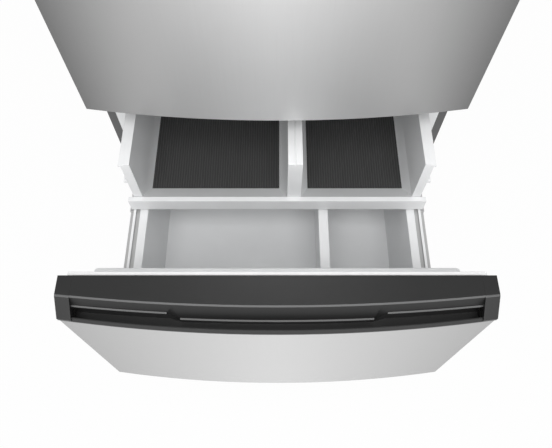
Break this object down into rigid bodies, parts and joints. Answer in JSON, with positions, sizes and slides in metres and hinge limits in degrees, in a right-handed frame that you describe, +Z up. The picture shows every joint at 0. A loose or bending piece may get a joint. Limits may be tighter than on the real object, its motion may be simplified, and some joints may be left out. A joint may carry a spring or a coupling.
{
  "type": "bottom freezer refrigerator",
  "caption": "Bottom freezer refrigerator with a bowed steel door above a pull-out freezer drawer, drawn open to show its upper tray and the basket below.",
  "frame": {"origin": "on the floor, under the middle of the width and of the depth with the drawer open", "axes": "+X to the right when facing the doors, +Y from the doors to the back, +Z up"},
  "size_m": [0.832, 1.294, 1.737],
  "materials": {
    "door_steel": "brushed stainless steel with a fine satin grain",
    "cabinet_paint": "dark grey paint with a light grain",
    "back_steel": "galvanised sheet",
    "dark_trim": "dark grey satin plastic",
    "liner_white": "white thermoformed plastic, satin",
    "tray_white": "white moulded plastic, fine matt grain",
    "mat_grey": "ribbed charcoal mat",
    "seal_white": "soft white sealing profile",
    "foam": "rigid insulating foam",
    "clear_plastic": "clear moulded plastic",
    "shelf_glass": "tempered glass with a faint green edge",
    "lens_white": "frosted lamp lens",
    "slide_zinc": "zinc plated steel",
    "slide_paint": "light grey painted steel, satin",
    "hinge_paint": "dark painted steel",
    "frame_paint": "black painted steel",
    "grille_black": "black moulded plastic",
    "roller_nylon": "off-white nylon",
    "compressor_black": "black enamel",
    "coil_aluminium": "aluminium fins and tube",
    "fan_plastic": "grey moulded plastic",
    "drain_plastic": "black moulded plastic"
  },
  "bodies": {
    "cabinet": {"cabinet_shell": "cabinet_paint", "cabinet_back": "back_steel", "fresh_food_liner": "liner_white", "freezer_liner": "liner_white", "cabinet_foam": "foam", "base_frame": "frame_paint", "roller_axles": "slide_zinc", "toe_grille": "grille_black", "compressor": "compressor_black", "condenser_coil": "coil_aluminium", "fan_shroud": "fan_plastic", "drain_pan": "drain_plastic", "machine_cover": "back_steel", "evaporator_coil": "coil_aluminium", "evaporator_cover": "liner_white", "freezer_fan_motor": "fan_plastic", "shelf_frames": "liner_white", "shelf_panes": "shelf_glass", "air_column": "liner_white", "control_housing": "liner_white", "light_lens": "lens_white", "top_hinge": "hinge_paint", "hinge_cover": "dark_trim", "centre_hinge": "hinge_paint", "slide_fixed": "slide_zinc"},
    "front_roller_left": {"front_roller_left": "roller_nylon"},
    "front_roller_right": {"front_roller_right": "roller_nylon"},
    "rear_roller_left": {"rear_roller_left": "roller_nylon"},
    "rear_roller_right": {"rear_roller_right": "roller_nylon"},
    "levelling_leg_left": {"levelling_leg_left": "frame_paint"},
    "levelling_leg_right": {"levelling_leg_right": "frame_paint"},
    "condenser_fan": {"condenser_fan": "fan_plastic"},
    "freezer_fan": {"freezer_fan": "fan_plastic"},
    "crisper_left": {"crisper_left": "clear_plastic"},
    "crisper_right": {"crisper_right": "clear_plastic"},
    "pantry_drawer": {"pantry_drawer": "clear_plastic"},
    "fresh_food_door": {"door_skin": "door_steel", "door_caps": "dark_trim", "door_foam": "foam", "door_grip": "dark_trim", "door_liner": "liner_white", "door_gasket": "seal_white", "door_bins": "clear_plastic", "dairy_box": "clear_plastic"},
    "dairy_lid": {"dairy_lid": "clear_plastic"},
    "freezer_drawer": {"drawer_skin": "door_steel", "drawer_cap": "dark_trim", "drawer_end_blocks": "dark_trim", "drawer_bottom_cap": "dark_trim", "drawer_foam": "foam", "drawer_liner": "liner_white", "drawer_gasket": "seal_white", "slide_drawer": "slide_paint", "freezer_basket": "tray_white", "basket_divider": "tray_white"},
    "slide_middle_left": {"slide_middle_left": "slide_zinc"},
    "slide_middle_right": {"slide_middle_right": "slide_zinc"},
    "upper_tray": {"tray_body": "tray_white", "tray_divider": "tray_white", "tray_mat": "mat_grey"}
  },
  "joints": [
    {"name": "drawer_slide", "type": "slide", "parent": "cabinet", "child": "freezer_drawer", "axis": [0, -1, 0], "range_m": [-0.45, 0]},
    {"name": "tray_slide", "type": "slide", "parent": "cabinet", "child": "upper_tray", "axis": [0, -1, 0], "range_m": [-0.225, 0]},
    {"name": "slide_middle_left_travel", "type": "slide", "parent": "cabinet", "child": "slide_middle_left", "axis": [0, -1, 0], "range_m": [-0.225, 0]},
    {"name": "slide_middle_right_travel", "type": "slide", "parent": "cabinet", "child": "slide_middle_right", "axis": [0, -1, 0], "range_m": [-0.225, 0]},
    {"name": "door_hinge", "type": "hinge", "parent": "cabinet", "child": "fresh_food_door", "pos_m": [0.404, -0.123, 0.59], "axis": [0, 0, 1], "range_deg": [0, 125]},
    {"name": "dairy_lid_hinge", "type": "hinge", "parent": "fresh_food_door", "child": "dairy_lid", "pos_m": [0, -0.017, 1.594], "axis": [1, 0, 0], "range_deg": [0, 80]},
    {"name": "crisper_left_slide", "type": "slide", "parent": "cabinet", "child": "crisper_left", "axis": [0, -1, 0], "range_m": [0, 0.03]},
    {"name": "crisper_right_slide", "type": "slide", "parent": "cabinet", "child": "crisper_right", "axis": [0, -1, 0], "range_m": [0, 0.03]},
    {"name": "pantry_slide", "type": "slide", "parent": "cabinet", "child": "pantry_drawer", "axis": [0, -1, 0], "range_m": [0, 0.03]},
    {"name": "front_roller_left_spin", "type": "hinge", "parent": "cabinet", "child": "front_roller_left", "pos_m": [-0.389, 0.013, 0.02], "axis": [1, 0, 0], "continuous": true},
    {"name": "front_roller_right_spin", "type": "hinge", "parent": "cabinet", "child": "front_roller_right", "pos_m": [0.389, 0.013, 0.02], "axis": [1, 0, 0], "continuous": true},
    {"name": "rear_roller_left_spin", "type": "hinge", "parent": "cabinet", "child": "rear_roller_left", "pos_m": [-0.389, 0.597, 0.02], "axis": [1, 0, 0], "continuous": true},
    {"name": "rear_roller_right_spin", "type": "hinge", "parent": "cabinet", "child": "rear_roller_right", "pos_m": [0.389, 0.597, 0.02], "axis": [1, 0, 0], "continuous": true},
    {"name": "levelling_leg_left_turn", "type": "hinge", "parent": "cabinet", "child": "levelling_leg_left", "pos_m": [-0.389, -0.049, 0], "axis": [0, 0, 1], "continuous": true},
    {"name": "levelling_leg_right_turn", "type": "hinge", "parent": "cabinet", "child": "levelling_leg_right", "pos_m": [0.389, -0.049, 0], "axis": [0, 0, 1], "continuous": true},
    {"name": "condenser_fan_spin", "type": "hinge", "parent": "cabinet", "child": "condenser_fan", "pos_m": [-0.081, 0.523, 0.16], "axis": [1, 0, 0], "continuous": true},
    {"name": "freezer_fan_spin", "type": "hinge", "parent": "cabinet", "child": "freezer_fan", "pos_m": [0, 0.49, 0.51], "axis": [0, 1, 0], "continuous": true}
  ],
  "couplings": [
    {"joint": "tray_slide", "follows": "drawer_slide", "ratio": 0.5},
    {"joint": "slide_middle_left_travel", "follows": "drawer_slide", "ratio": 0.5},
    {"joint": "slide_middle_right_travel", "follows": "drawer_slide", "ratio": 0.5}
  ]
}
